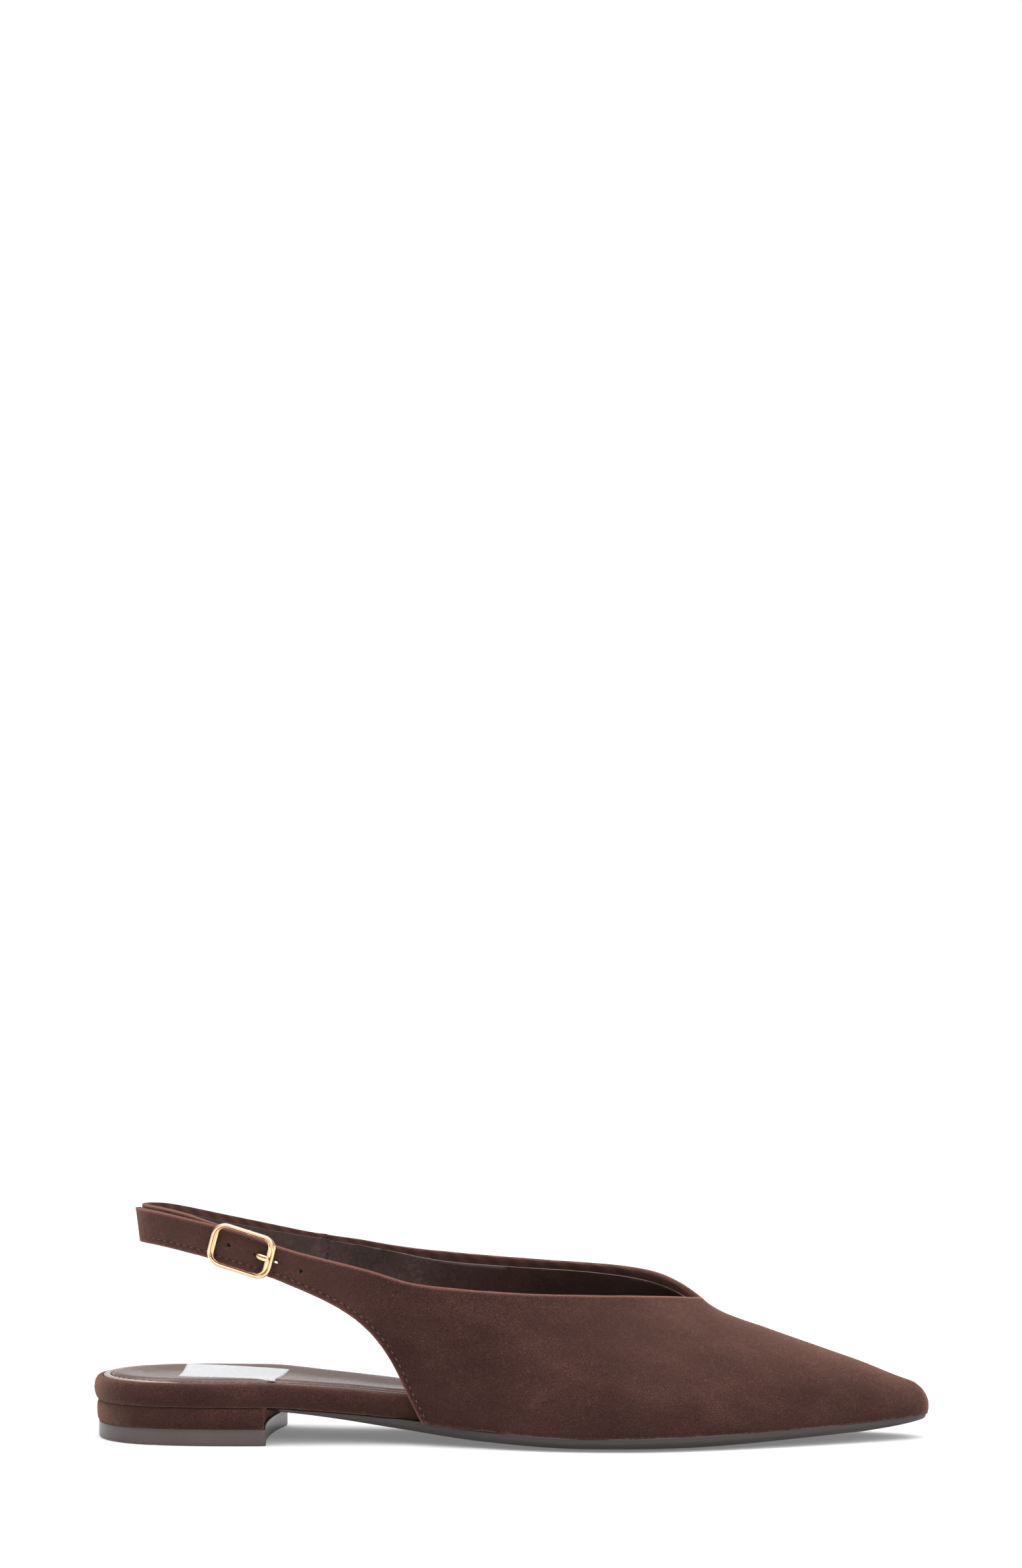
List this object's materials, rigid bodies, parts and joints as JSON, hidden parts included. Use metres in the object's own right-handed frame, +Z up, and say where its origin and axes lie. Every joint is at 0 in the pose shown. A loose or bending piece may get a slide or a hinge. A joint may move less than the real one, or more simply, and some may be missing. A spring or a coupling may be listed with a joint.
{
  "type": "pointed toe slingback flat shoe",
  "caption": "Right pointed toe slingback flat in brown suede, with a buckled strap round the heel and a low stacked heel.",
  "frame": {"origin": "middle of the shoe's bounding box, on the floor it stands on", "axes": "+X towards the toe, +Y towards the inner (medial) side, +Z up"},
  "size_m": [0.2688, 0.0736, 0.075],
  "materials": {
    "suede": "suede, soft raised nap",
    "lining": "smooth leather, light sheen",
    "outsole": "moulded, semi-matt",
    "top_lift": "semi-matt",
    "buckle": "polished pale gold plate"
  },
  "bodies": {
    "root": {"outsole": "outsole", "heel_block": "suede", "top_lift": "top_lift", "footbed": "suede", "sock_lining": "lining", "upper": "suede", "sling_strap": "suede", "buckle_frame": "buckle", "buckle_prong": "buckle"}
  },
  "joints": []
}
